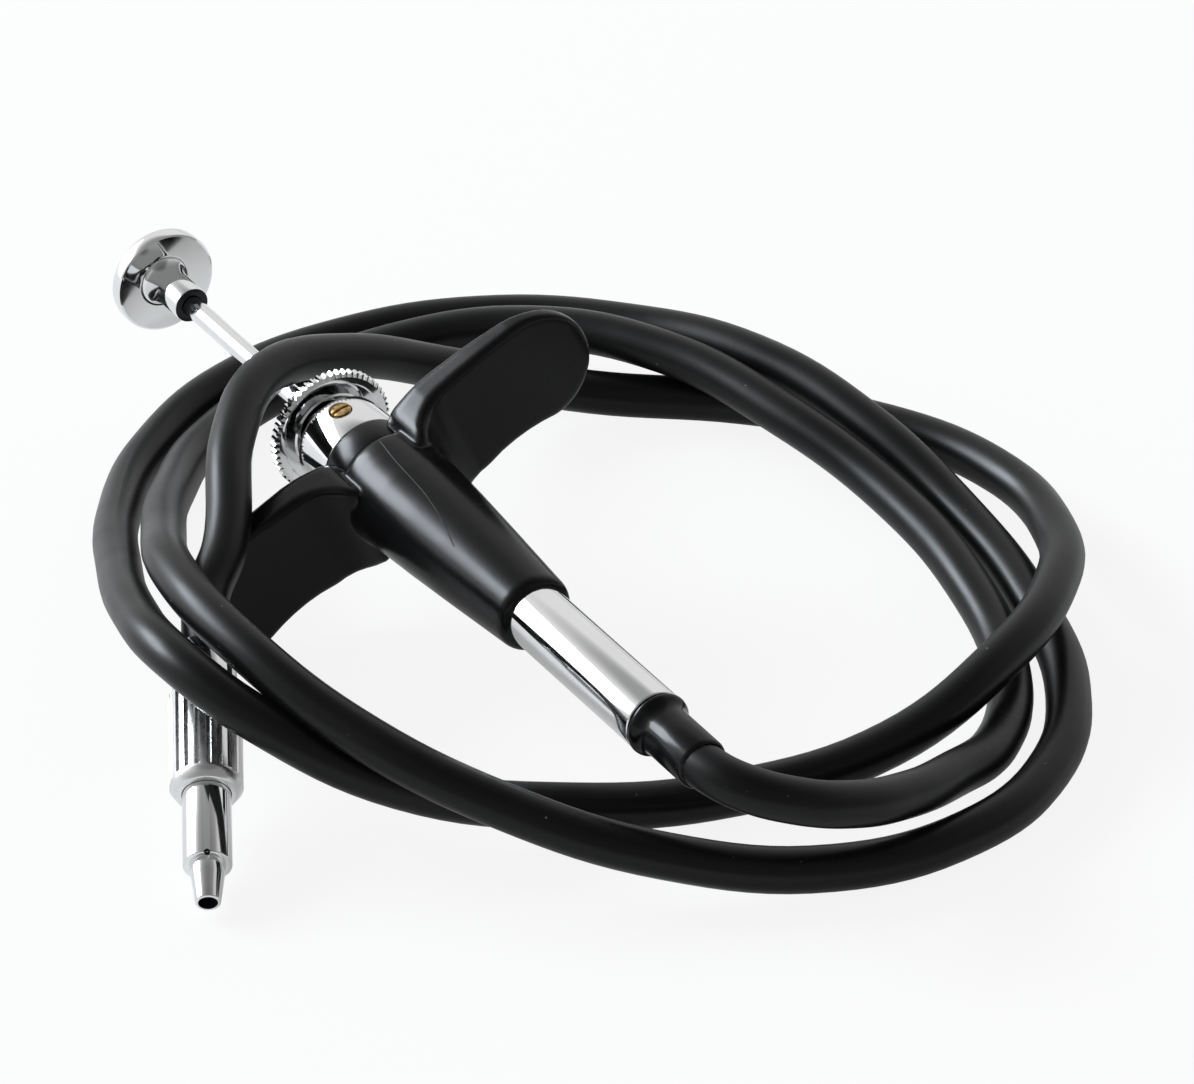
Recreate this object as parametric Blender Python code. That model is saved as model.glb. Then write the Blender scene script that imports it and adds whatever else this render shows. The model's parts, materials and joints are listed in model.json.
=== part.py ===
"""Cable shutter release: T-grip with a disc lock, push button, long jacketed cable and screw tip.

Sizes are in millimetres and MM turns them into metres. +X runs along the grip's axis from the
button to the cable, +Y is to the side, +Z is up and z = 0 is the table that the release lies on.
"""
import math

import bmesh
import bpy
from mathutils import Matrix, Vector

MM = 0.001
FIT = 0.3                # gap that touching pieces keep

# --- where the grip's axis lies ---
AXIS_Z = 17.0            # height of the grip's axis over the table
GRIP_TOP_X = -11.5       # the grip's top end; stations below are counted from it
WING_ROLL = 25.0         # degrees that the wings are rolled about the axis, +Y wing up

# --- plunger, stations along the axis from the grip's top end ---
TRAVEL = 14.0            # how far the button goes in
ROD_R = 1.3
BUTTON_R = 6.65
BUTTON_RIM = -50.0       # the rim's lower edge
BUTTON_HUB_END = -43.5
HUB_R = 2.3
STOP_COLLAR = (16.0, 20.0)
CRIMP = (20.4, 26.0)
WIRE_R = 0.6

# --- disc lock ---
DISC_R = 8.0
DISC_TEETH = 56
DISC = (-9.95, -8.4)
LOCK_TRAVEL = 1.5        # how far the disc goes down to free the rod
SLEEVE_R = 3.1
COLLAR_TOP = DISC[1] + LOCK_TRAVEL + FIT
COLLAR_R = 6.0
COLLAR_BORE = 3.5
SPIGOT_R = 3.5
SPIGOT_END = 6.0
LOCK_WASHER = -1.7       # the middle of the canted washer
WASHER_CANT = 5.0        # degrees
SCREW_STATION = -4.2
SCREW_R = 1.4
SCREW_LEAN = 13.0        # degrees from straight up, toward -Y

# --- grip, tube and cable entry ---
GRIP_LENGTH = 39.0
TUBE_R = 3.9
TUBE_BORE = 3.3
TUBE = (7.0, 65.0)
WING_REACH = 22.0        # from the axis to the centre of the wing's round end
WING_END_R = 7.8
WING_ROUND_X = 0.9       # edge radius along the grip's axis, less where the wing is thin
WING_ROUND_W = 1.0       # edge radius across the wing
WING_PINCH = 0.2         # how much thinner the round end gets toward its last ring
WING_STEPS = [0.12, 0.6, 1.6, 3.2, 5.2]     # rings of the round end, back from its tip
WING_REACHES = [WING_REACH, 17.0, 13.0, 10.5, 9.0, 7.8, 6.8, 6.0, 5.0, 4.2, 3.6]
# the wing's edges and faces, each as rows of (distance from the grip's axis, place)
WING_UPPER = [(0.0, 4.2), (3.6, 4.6), (4.4, 5.3), (5.8, 5.9), (7.0, 6.4), (9.0, 6.85),
              (12.5, 7.15), (17.0, 7.55), (22.0, WING_END_R)]
WING_LOWER = [(0.0, 4.2), (3.6, 4.8), (5.4, 6.9), (7.4, 8.0), (9.2, 8.4), (10.5, 8.1),
              (12.0, 7.7), (14.0, 7.3), (16.0, 7.1), (19.0, 7.1), (22.0, 7.7)]
WING_FRONT = [(5.0, 8.9), (6.0, 8.5), (6.8, 7.5), (7.8, 6.5), (9.0, 5.8), (10.5, 5.4),
              (14.0, 5.4), (22.0, 5.7)]
WING_BACK = [(5.0, 1.3), (8.0, 1.1), (11.0, 1.1), (17.0, 1.9), (21.0, 2.7), (25.0, 3.6),
             (29.8, 4.0)]
SEAT = (44.0, 46.5)
FERRULE = (52.0, 59.6)
BOOT = (65.3, 75.3)
BOOT_BORE = 2.95
CABLE_R = 2.75
EXIT_STRETCH = 42.0      # the cable's first stretch, where it bends down out of the boot
TIP_STRETCH = 12.0

# --- tip: counted back from the nose's end along the tip's own axis ---
NOSE_END = (39.2, -50.6, 1.9)
TIP_PITCH = 18.0         # degrees nose down
TIP_TURN = -28.97        # degrees of the tip's heading about +Z
TIP_COLLAR = (15.4, 30.6)
TIP_COLLAR_R = 4.25
TIP_FLUTES = 20
TIP_NECK = (5.2, 20.0)
TIP_NECK_R = 3.0
NOSE_R = 2.1             # the nose's taper where it meets the neck
NOSE_STEM_R = 1.6
TIP_CUP = (31.0, 36.6)
PIN = (2.5, 21.0)
PIN_R = 0.7

# Centreline of the cable, from the barrel tube to the tip, in the part's frame.
CABLE_ROUTE = [
    (48.5, 0, 17), (57, 0, 17), (64.2, 0, 17), (68.6, 1.8, 16.4), (72.2, 7, 14.6),
    (73.2, 14, 12.2), (71.4, 22.4, 9.4), (67.4, 31.4, 6.6), (61.6, 41.6, 4), (49.4, 51.6, 3.2), (31.2, 57.8, 4.2),
    (11.8, 59.2, 6), (-7.2, 56, 8.4), (-26, 50.8, 9.2), (-41.6, 40.6, 8), (-50.2, 26.2, 5.6),
    (-51, 10.2, 3.8), (-44.2, -4.2, 4.4), (-30.6, -16.4, 8.4), (-14.8, -26.2, 14.4),
    (2, -33.6, 20), (18.8, -35, 20.8), (35.6, -29.8, 16.4), (50.4, -18.6, 10.4),
    (62.8, -4.4, 5.6), (71.6, 12.6, 3), (73.8, 29.8, 3), (68.2, 44.4, 3), (55.4, 56, 3),
    (37.2, 63, 3), (18.2, 66, 4), (-1, 64.2, 7.8), (-19.8, 60, 9), (-37.4, 52, 7),
    (-51, 39, 5.2), (-57.8, 22.8, 3.6), (-56.8, 5.4, 3), (-48, -10.2, 3), (-33.2, -22.6, 5.4),
    (-16.6, -31.4, 10.2), (0.8, -38.6, 15.8), (16, -41.6, 19), (27.8, -37.4, 15.8),
    (38.4, -25, 8.4), (46.4, -7, 3.8), (53, 11.2, 3), (56.6, 30.2, 5.2), (53.8, 47, 9.4),
    (44, 61.6, 9.4), (28.8, 71.8, 6.2), (12.4, 74.6, 4.6), (-4.4, 69.8, 3.6), (-19.2, 58.2, 3),
    (-30, 42.4, 4), (-34.8, 26.2, 9.8), (-32.6, 9.2, 18.4), (-27.4, -4.8, 23),
    (-18.2, -14.6, 22.4), (-3, -24.4, 17.9),
    (2.2, -29.8, 15.6), (7.6, -33.1, 13.6), (12.5, -35.8, 11.8),
]


def material(name, colour, metallic, roughness):
    mat = bpy.data.materials.new(name)
    mat.use_nodes = True
    shader = mat.node_tree.nodes["Principled BSDF"]
    shader.inputs["Base Color"].default_value = (*colour, 1.0)
    shader.inputs["Metallic"].default_value = metallic
    shader.inputs["Roughness"].default_value = roughness
    mat.diffuse_color = (*colour, 1.0)
    return mat


def chrome(name):
    return material(name, (0.80, 0.81, 0.83), 1.0, 0.08)


def brass(name):
    return material(name, (0.78, 0.57, 0.24), 1.0, 0.25)


def steel(name):
    return material(name, (0.55, 0.56, 0.58), 1.0, 0.30)


def black_plastic(name):
    return material(name, (0.018, 0.018, 0.020), 0.0, 0.35)


def black_jacket(name):
    return material(name, (0.012, 0.012, 0.014), 0.0, 0.28)


class Line:
    """A straight axis that turned pieces sit on: a start, a direction and two square directions."""

    def __init__(self, start, direction, up):
        self.start = Vector(start) * MM
        self.along = Vector(direction).normalized()
        self.side = Vector(up).cross(self.along).normalized()
        self.up = self.along.cross(self.side)

    def point(self, station, radius=0.0, angle=0.0):
        out = self.side * math.cos(angle) + self.up * math.sin(angle)
        return self.start + self.along * (station * MM) + out * (radius * MM)

    def matrix(self, station):
        turn = Matrix((self.along, self.side, self.up)).transposed().to_4x4()
        return Matrix.Translation(self.point(station)) @ turn


def tip_direction():
    turn = math.radians(TIP_TURN)
    pitch = math.radians(TIP_PITCH)
    return (math.cos(turn) * math.cos(pitch), math.sin(turn) * math.cos(pitch), -math.sin(pitch))


GRIP_LINE = Line((GRIP_TOP_X, 0.0, AXIS_Z), (1, 0, 0), (0, 0, 1))
TIP_LINE = Line(NOSE_END, [-c for c in tip_direction()], (0, 0, 1))


def add_object(name, bm, mat, origin=None, smooth_angle=35.0):
    """Make the named object; a moving piece gets its origin on its joint's axis."""
    bmesh.ops.recalc_face_normals(bm, faces=bm.faces)
    origin = Vector(origin) if origin is not None else Vector((0, 0, 0))
    bmesh.ops.translate(bm, verts=bm.verts, vec=-origin)
    for edge in bm.edges:
        flat = len(edge.link_faces) != 2 or edge.calc_face_angle(0.0) > math.radians(smooth_angle)
        edge.smooth = not flat
    for face in bm.faces:
        face.smooth = True
    mesh = bpy.data.meshes.new(name)
    bm.to_mesh(mesh)
    bm.free()
    mesh.materials.append(mat)
    obj = bpy.data.objects.new(name, mesh)
    obj.location = origin
    bpy.context.collection.objects.link(obj)
    return obj


def join_rings(bm, lower, upper):
    """Skin between two rings; a ring of one vertex is a point on the axis."""
    count = max(len(lower), len(upper))
    for i in range(count):
        j = (i + 1) % count
        if len(lower) == 1:
            bm.faces.new((lower[0], upper[j], upper[i]))
        elif len(upper) == 1:
            bm.faces.new((lower[i], lower[j], upper[0]))
        else:
            bm.faces.new((lower[i], lower[j], upper[j], upper[i]))


def turned_mesh(line, profile, sides, teeth=None, tooth_depth=0.0, toothed=()):
    """Turn a profile of (station, radius) about the line.

    A profile that starts and ends at radius 0 is solid; any other is a closed loop round a bore.
    The points listed in toothed have their radius cut back by tooth_depth between the teeth.
    """
    bm = bmesh.new()
    rings = []
    steps = sides // teeth if teeth else 1
    for index, (station, radius) in enumerate(profile):
        if radius == 0.0:
            rings.append([bm.verts.new(line.point(station))])
            continue
        ring = []
        for side in range(sides):
            cut = tooth_depth if index in toothed and side % steps >= steps // 2 else 0.0
            ring.append(bm.verts.new(line.point(station, radius - cut, math.tau * side / sides)))
        rings.append(ring)
    for lower, upper in zip(rings, rings[1:]):
        join_rings(bm, lower, upper)
    if len(rings[0]) > 1:
        join_rings(bm, rings[-1], rings[0])
    return bm


def turned(name, line, profile, mat, sides=32, origin=None, **teeth):
    return add_object(name, turned_mesh(line, profile, sides, **teeth), mat, origin)


def tube_profile(start, end, bore, radius, bevel=0.0):
    """Closed loop of a plain bush, with the outer corners bevelled."""
    if bevel == 0.0:
        return [(start, bore), (start, radius), (end, radius), (end, bore)]
    return [(start, bore), (start, radius - bevel), (start + bevel, radius),
            (end - bevel, radius), (end, radius - bevel), (end, bore)]


def coil(name, line, span, mean_r, wire_r, turns, mat, per_turn=12, sides=6):
    """A helical spring with cut ends, its wire swept round the line."""
    bm = bmesh.new()
    count = int(turns * per_turn)
    start, end = span[0] + wire_r, span[1] - wire_r
    rings = []
    for step in range(count + 1):
        angle = math.tau * step / per_turn
        station = start + (end - start) * step / count
        centre = line.point(station, mean_r, angle)
        out = (centre - line.point(station)).normalized()
        ring = []
        for side in range(sides):
            turn = math.tau * side / sides
            ring.append(bm.verts.new(centre + (out * math.cos(turn) + line.along * math.sin(turn))
                                     * (wire_r * MM)))
        rings.append(ring)
    for lower, upper in zip(rings, rings[1:]):
        join_rings(bm, lower, upper)
    bm.faces.new(rings[0])
    bm.faces.new(rings[-1][::-1])
    return add_object(name, bm, mat)


def boolean(target, cutter, operation):
    """Apply an exact boolean and drop the cutter."""
    modifier = target.modifiers.new(operation.lower(), "BOOLEAN")
    modifier.operation = operation
    modifier.solver = "EXACT"
    modifier.object = cutter
    depsgraph = bpy.context.evaluated_depsgraph_get()
    mesh = bpy.data.meshes.new_from_object(target.evaluated_get(depsgraph))
    target.modifiers.remove(modifier)
    target.data = mesh
    bpy.data.objects.remove(cutter)


def cylinder_cutter(line, start, end, radius, sides=32):
    bm = turned_mesh(line, [(start, 0.0), (start, radius), (end, radius), (end, 0.0)], sides)
    return add_object("cutter", bm, black_plastic("cutter"))


# --- plunger ---------------------------------------------------------------------------------


def build_plunger():
    origin = GRIP_LINE.point(BUTTON_HUB_END)
    rim = BUTTON_RIM
    bore = ROD_R + FIT
    turned("button_head", GRIP_LINE, [
        (BUTTON_HUB_END - 0.5, bore), (BUTTON_HUB_END, bore + 0.3), (BUTTON_HUB_END, HUB_R - 0.3),
        (BUTTON_HUB_END - 0.4, HUB_R), (rim + 0.9, HUB_R), (rim + 0.1, HUB_R + 0.25),
        (rim - 0.3, HUB_R + 0.9), (rim - 0.25, 4.4), (rim - 0.1, 5.6), (rim, BUTTON_R - 0.35),
        (rim - 0.25, BUTTON_R), (rim - 1.7, BUTTON_R), (rim - 2.3, BUTTON_R - 0.5),
        (rim - 2.3, 6.0), (rim - 1.9, 4.0), (rim - 1.7, 2.2), (rim - 1.7, bore)],
        chrome("button_chrome"), sides=36, origin=origin)
    turned("plunger_rod", GRIP_LINE, [
        (rim - 2.1, 0.0), (rim - 2.0, 0.9), (rim - 1.7, ROD_R), (15.0, ROD_R), (15.7, 1.0),
        (CRIMP[0] - FIT, 1.0), (CRIMP[0] - FIT, 0.0)],
        chrome("rod_chrome"), sides=24, origin=origin)
    turned("stop_collar", GRIP_LINE, tube_profile(*STOP_COLLAR, 1.0 + FIT, 2.9, 0.3),
           brass("stop_brass"), sides=20, origin=origin)
    turned("wire_crimp", GRIP_LINE, [
        (CRIMP[0], 0.0), (CRIMP[0], 1.4), (CRIMP[1] - 0.4, 1.6), (CRIMP[1], 1.2),
        (CRIMP[1], WIRE_R + FIT), (CRIMP[0] + 1.2, WIRE_R + FIT), (CRIMP[0] + 1.2, 0.0)],
        brass("crimp_brass"), sides=20, origin=origin)
    wire_end = FERRULE[0] + 2.0 - TRAVEL
    turned("drive_wire", GRIP_LINE, [
        (CRIMP[0] + 1.5, 0.0), (CRIMP[0] + 1.5, WIRE_R), (wire_end, WIRE_R), (wire_end, 0.0)],
        steel("wire_steel"), sides=12, origin=origin)
    coil("return_spring", GRIP_LINE, (STOP_COLLAR[1] + FIT, SEAT[0] - FIT), 2.55, 0.3, 9,
         steel("return_spring_steel"), per_turn=10)


# --- disc lock -------------------------------------------------------------------------------


def build_lock():
    origin = GRIP_LINE.point(DISC[1])
    top, bottom = DISC
    turned("lock_disc", GRIP_LINE, [
        (top, SLEEVE_R + FIT), (top, DISC_R - 0.7), (top + 0.35, DISC_R),
        (bottom - 0.35, DISC_R), (bottom, DISC_R - 0.7), (bottom, SLEEVE_R + FIT)],
        chrome("disc_chrome"), sides=2 * DISC_TEETH, origin=origin,
        teeth=DISC_TEETH, tooth_depth=0.42, toothed=(2, 3))
    turned("lock_sleeve", GRIP_LINE,
           tube_profile(top - 1.6, COLLAR_TOP + 1.4, ROD_R + FIT, SLEEVE_R, 0.3),
           chrome("sleeve_chrome"), sides=32, origin=origin)
    coil("lock_spring", GRIP_LINE, (COLLAR_TOP + 1.7, -2.3), 2.5, 0.25, 2.5,
         steel("lock_spring_steel"), per_turn=14)
    lean = math.radians(WASHER_CANT)
    tilted = (math.cos(lean), 0.0, math.sin(lean))
    washer_line = Line((GRIP_TOP_X + LOCK_WASHER, 0.0, AXIS_Z), tilted, (0, 0, 1))
    turned("lock_washer", washer_line, tube_profile(-0.3, 0.3, ROD_R + 0.35, 3.1),
           steel("washer_steel"), sides=24)


def build_collar():
    collar = turned("release_collar", GRIP_LINE, [
        (COLLAR_TOP, COLLAR_BORE), (COLLAR_TOP, COLLAR_R - 0.4), (COLLAR_TOP + 0.4, COLLAR_R),
        (-1.0, COLLAR_R), (-FIT, COLLAR_R - 0.3), (-FIT, SPIGOT_R), (SPIGOT_END, SPIGOT_R),
        (SPIGOT_END, 2.6), (-1.0, 2.6), (-1.0, COLLAR_BORE)],
        chrome("collar_chrome"), sides=36)
    lean = math.radians(SCREW_LEAN)
    out = (0.0, -math.sin(lean), math.cos(lean))
    screw_line = Line((GRIP_TOP_X + SCREW_STATION, 0.0, AXIS_Z), out, (1, 0, 0))
    boolean(collar, cylinder_cutter(screw_line, 2.5, 7.0, SCREW_R + 0.25, 20), "DIFFERENCE")
    screw = turned("set_screw", screw_line, [
        (3.75, 0.0), (3.75, 0.8), (4.2, SCREW_R), (6.0, SCREW_R), (6.15, SCREW_R - 0.15),
        (6.15, 0.0)], brass("screw_brass"), sides=20)
    slot_turn = Matrix.Rotation(math.radians(54.0), 4, "X")
    bm = bmesh.new()
    bmesh.ops.create_cube(bm, size=1.0)
    bmesh.ops.scale(bm, verts=bm.verts, vec=(1.4 * MM, 4.0 * MM, 0.5 * MM))
    bmesh.ops.transform(bm, verts=bm.verts, matrix=screw_line.matrix(6.3) @ slot_turn)
    boolean(screw, add_object("cutter", bm, black_plastic("cutter")), "DIFFERENCE")
    turned("rod_guide_bush", GRIP_LINE, tube_profile(-0.7, SPIGOT_END - 0.4, ROD_R + FIT, 2.3, 0.2),
           brass("bush_brass"), sides=20)


# --- T-grip ----------------------------------------------------------------------------------


def along_table(table, place):
    """Value at a place between the rows of a short table of (place, value)."""
    if place <= table[0][0]:
        return table[0][1]
    for (start, first), (end, last) in zip(table, table[1:]):
        if place <= end:
            return first + (last - first) * (place - start) / (end - start)
    return table[-1][1]


def wing_section(reach):
    """Upper and lower edge, front and back station of the wings at a distance from the axis."""
    end = abs(reach)
    past = max(0.0, end - WING_REACH)
    round_end = math.sqrt(max(0.0, WING_END_R ** 2 - past ** 2))
    upper = min(round_end, along_table(WING_UPPER, end))
    lower = -min(round_end, along_table(WING_LOWER, end))
    return upper, lower, along_table(WING_FRONT, end), along_table(WING_BACK, end)


def wing_mesh():
    """Both wings in one loft: rounded sections set square to the wings' length."""
    reaches = [WING_REACH + WING_END_R - step for step in WING_STEPS] + WING_REACHES
    stations = [-r for r in reaches] + [0.0] + reaches[::-1]
    roll = math.radians(WING_ROLL)
    bm = bmesh.new()
    rings = []
    for reach in stations:
        upper, lower, front, back = wing_section(reach)
        thick = front - back
        corner_x = min(WING_ROUND_X, 0.42 * thick)
        corner_w = min(WING_ROUND_W, 0.6 * upper)
        squeeze = WING_PINCH * thick * max(0.0, 1.0 - 2.0 * upper / WING_END_R)
        front, back = front - squeeze, back + squeeze
        ring = []
        for sign_x, sign_w, first in ((1, 1, 0), (-1, 1, 90), (-1, -1, 180), (1, -1, 270)):
            centre_x = (front - corner_x) if sign_x > 0 else (back + corner_x)
            centre_w = upper - corner_w if sign_w > 0 else lower + corner_w
            for step in range(4):
                angle = math.radians(first + 30 * step)
                station = centre_x + corner_x * math.cos(angle)
                height = centre_w + corner_w * math.sin(angle)
                y = reach * math.cos(roll) - height * math.sin(roll)
                z = reach * math.sin(roll) + height * math.cos(roll)
                ring.append(bm.verts.new(Vector((GRIP_TOP_X + station, y, AXIS_Z + z)) * MM))
        rings.append(ring)
    for lower, upper in zip(rings, rings[1:]):
        join_rings(bm, lower, upper)
    bm.faces.new(rings[0])
    bm.faces.new(rings[-1][::-1])
    return bm


def build_grip():
    end = GRIP_LENGTH
    grip = turned("grip", GRIP_LINE, [
        (0.0, 0.0), (0.0, 5.7), (0.25, 6.1), (0.7, 6.25), (4.4, 6.3), (4.7, 6.7), (6.5, 6.8),
        (10.0, 6.8), (16.0, 6.5), (24.0, 5.95), (end - 2.0, 4.95), (end - 0.6, 4.75),
        (end, 4.4), (end, 0.0)], black_plastic("grip_black"), sides=40)
    wings = add_object("wings", wing_mesh(), black_plastic("wings_black"))
    boolean(grip, wings, "UNION")
    boolean(grip, cylinder_cutter(GRIP_LINE, -1.0, end + 1.0, TUBE_R + FIT, 32), "DIFFERENCE")
    bm = bmesh.new()
    bm.from_mesh(grip.data)
    bmesh.ops.remove_doubles(bm, verts=bm.verts, dist=0.000001)
    bmesh.ops.recalc_face_normals(bm, faces=bm.faces)
    bm.to_mesh(grip.data)
    bm.free()


def build_cable_entry():
    turned("barrel_tube", GRIP_LINE, tube_profile(*TUBE, TUBE_BORE, TUBE_R, 0.25),
           chrome("tube_chrome"), sides=32)
    turned("spring_seat", GRIP_LINE, tube_profile(*SEAT, WIRE_R + FIT, 3.0, 0.3),
           brass("seat_brass"), sides=20)
    turned("cable_ferrule", GRIP_LINE, [
        (FERRULE[0], WIRE_R + FIT), (FERRULE[0], 2.2), (FERRULE[0] + 2.0, 2.2),
        (FERRULE[0] + 2.0, 3.0), (FERRULE[1], 3.0), (FERRULE[1], WIRE_R + FIT)],
        brass("ferrule_brass"), sides=20)
    start, end = BOOT
    turned("cable_boot", GRIP_LINE, [
        (start, BOOT_BORE), (start, 3.75), (start + 0.3, 4.0), (start + 1.1, 3.95),
        (start + 1.9, 3.6), (start + 3.0, 3.25), (end - 0.4, 3.2), (end, 3.05),
        (end, BOOT_BORE)], black_jacket("boot_black"), sides=24)


# --- cable -----------------------------------------------------------------------------------


def smooth_route(points, spacing, fine_spacing):
    """Points on the cubic curve through the route's points, closer together at its two ends."""
    points = [Vector(p) for p in points]
    count = len(points)
    spans = [(b - a).length for a, b in zip(points, points[1:])]
    slopes = [(points[1] - points[0]) / spans[0]]
    for i in range(1, count - 1):
        before, after = spans[i - 1], spans[i]
        rise_in = (points[i] - points[i - 1]) / before
        rise_out = (points[i + 1] - points[i]) / after
        slopes.append((rise_in * after + rise_out * before) / (before + after))
    slopes.append((points[-1] - points[-2]) / spans[-1])
    fine = []
    for i, span in enumerate(spans):
        for step in range(24):
            t = step / 24
            fine.append(points[i] * (2 * t ** 3 - 3 * t ** 2 + 1)
                        + slopes[i] * (span * (t ** 3 - 2 * t ** 2 + t))
                        + points[i + 1] * (3 * t ** 2 - 2 * t ** 3)
                        + slopes[i + 1] * (span * (t ** 3 - t ** 2)))
    fine.append(points[-1])
    result, since = [fine[0]], 0.0
    left = sum((b - a).length for a, b in zip(fine, fine[1:]))
    total = left
    for a, b in zip(fine, fine[1:]):
        since += (b - a).length
        left -= (b - a).length
        near_end = total - left < EXIT_STRETCH or left < TIP_STRETCH
        if since >= (fine_spacing if near_end else spacing) and left > fine_spacing:
            result.append(b)
            since = 0.0
    return result + [fine[-1]]


def build_cable():
    curve = bpy.data.curves.new("cable_jacket", "CURVE")
    curve.dimensions = "3D"
    curve.bevel_depth = CABLE_R * MM
    curve.bevel_resolution = 3
    curve.use_fill_caps = True
    path = smooth_route(CABLE_ROUTE, 14.6, 4.2)
    spline = curve.splines.new("POLY")
    spline.points.add(len(path) - 1)
    for point, place in zip(spline.points, path):
        point.co = (*(place * MM), 1.0)
    curve.materials.append(black_jacket("jacket_black"))
    cable = bpy.data.objects.new("cable_jacket", curve)
    bpy.context.collection.objects.link(cable)


# --- tip -------------------------------------------------------------------------------------


def build_tip():
    origin = TIP_LINE.point(TIP_COLLAR[0])
    front, back = TIP_COLLAR
    turned("tip_collar", TIP_LINE, [
        (front, TIP_NECK_R + FIT), (front + 0.1, TIP_NECK_R + 0.6), (front + 1.1, TIP_COLLAR_R),
        (front + 1.5, TIP_COLLAR_R), (front + 1.8, TIP_COLLAR_R - 0.1), (back - 0.9, TIP_COLLAR_R),
        (back, TIP_COLLAR_R - 0.6), (back, 2.6), (back - 2.4, 2.6), (back - 2.4, TIP_NECK_R + FIT)],
        chrome("tip_collar_chrome"), sides=4 * TIP_FLUTES, origin=origin,
        teeth=TIP_FLUTES, tooth_depth=0.32, toothed=(4, 5, 6))
    front, back = TIP_NECK
    seat = front + 1.0
    turned("tip_neck", TIP_LINE, [
        (front, NOSE_R + FIT), (front, TIP_NECK_R - 0.15), (front + 0.15, TIP_NECK_R),
        (back - 0.25, TIP_NECK_R), (back, TIP_NECK_R - 0.25), (back, NOSE_STEM_R + FIT),
        (seat, NOSE_STEM_R + FIT), (seat, NOSE_R + FIT)],
        chrome("tip_neck_chrome"), sides=28, origin=origin)
    turned("tip_nose", TIP_LINE, [
        (0.0, 1.25), (0.0, 1.45), (0.2, 1.6), (front - 0.6, NOSE_R), (seat - FIT, NOSE_R),
        (seat - FIT, NOSE_STEM_R), (front + 5.0, NOSE_STEM_R), (front + 5.0, PIN_R + FIT),
        (1.2, PIN_R + FIT), (0.9, 1.25)], chrome("tip_nose_chrome"), sides=24, origin=origin)


def build_tip_ferrule():
    front, back = TIP_CUP
    bore = PIN_R + FIT
    turned("tip_ferrule", TIP_LINE, [
        (25.6, bore), (25.6, 2.0), (26.0, 2.3), (27.0, 2.3), (27.0, 1.8), (28.0, 1.8), (28.0, 2.3),
        (front, 2.3), (front, 3.45), (front + 0.3, 3.7), (back - 1.5, 3.7), (back, 3.4),
        (back, CABLE_R + FIT), (front + 0.8, CABLE_R + FIT), (front + 0.8, bore)],
        chrome("tip_ferrule_chrome"), sides=22)
    turned("tip_retaining_ring", TIP_LINE, tube_profile(27.2, 27.8, 2.1, 2.95),
           steel("ring_steel"), sides=24)
    turned("release_pin", TIP_LINE, [
        (PIN[0], 0.0), (PIN[0], 0.4), (PIN[0] + 0.3, PIN_R), (PIN[1], PIN_R), (PIN[1], 0.0)],
        steel("pin_steel"), sides=16, origin=TIP_LINE.point(PIN[0]))


for leftover in list(bpy.data.objects):
    bpy.data.objects.remove(leftover)

build_plunger()
build_lock()
build_collar()
build_grip()
build_cable_entry()
build_cable()
build_tip()
build_tip_ferrule()
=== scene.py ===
"""Looks of the cable shutter release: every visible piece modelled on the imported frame.

Lengths are written in millimetres and MM turns them into metres. +X runs along the grip's axis
from the button to the cable, and z = 0 is the table.
"""
import json
import math

import bmesh
import bpy
from mathutils import Matrix, Vector


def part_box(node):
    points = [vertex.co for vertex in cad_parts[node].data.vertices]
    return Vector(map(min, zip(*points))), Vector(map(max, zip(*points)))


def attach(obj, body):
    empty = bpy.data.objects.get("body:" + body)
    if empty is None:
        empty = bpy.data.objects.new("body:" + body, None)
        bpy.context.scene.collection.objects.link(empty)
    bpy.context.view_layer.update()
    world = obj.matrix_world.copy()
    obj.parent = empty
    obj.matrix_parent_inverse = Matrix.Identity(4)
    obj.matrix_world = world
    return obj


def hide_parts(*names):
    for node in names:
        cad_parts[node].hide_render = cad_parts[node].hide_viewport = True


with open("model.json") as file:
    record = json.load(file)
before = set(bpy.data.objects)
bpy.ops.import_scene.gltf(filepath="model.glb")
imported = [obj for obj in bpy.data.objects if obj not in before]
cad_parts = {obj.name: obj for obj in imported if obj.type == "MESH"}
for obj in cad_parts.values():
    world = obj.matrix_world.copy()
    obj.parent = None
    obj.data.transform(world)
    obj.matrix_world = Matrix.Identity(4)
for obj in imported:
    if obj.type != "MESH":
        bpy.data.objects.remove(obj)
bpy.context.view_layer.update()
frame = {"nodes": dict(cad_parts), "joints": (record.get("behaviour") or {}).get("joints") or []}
MM = 0.001

# --- the camera: where it stands round the release, and what it looks at ---
CAMERA_AZIMUTH = 58.5
CAMERA_ELEVATION = 32.5
CAMERA_DISTANCE = 950.0
CAMERA_TARGET = (-5.2, 28.2, 0.0)
CAMERA_LENS = 235.2
CAMERA_SENSOR = 36.0

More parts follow.
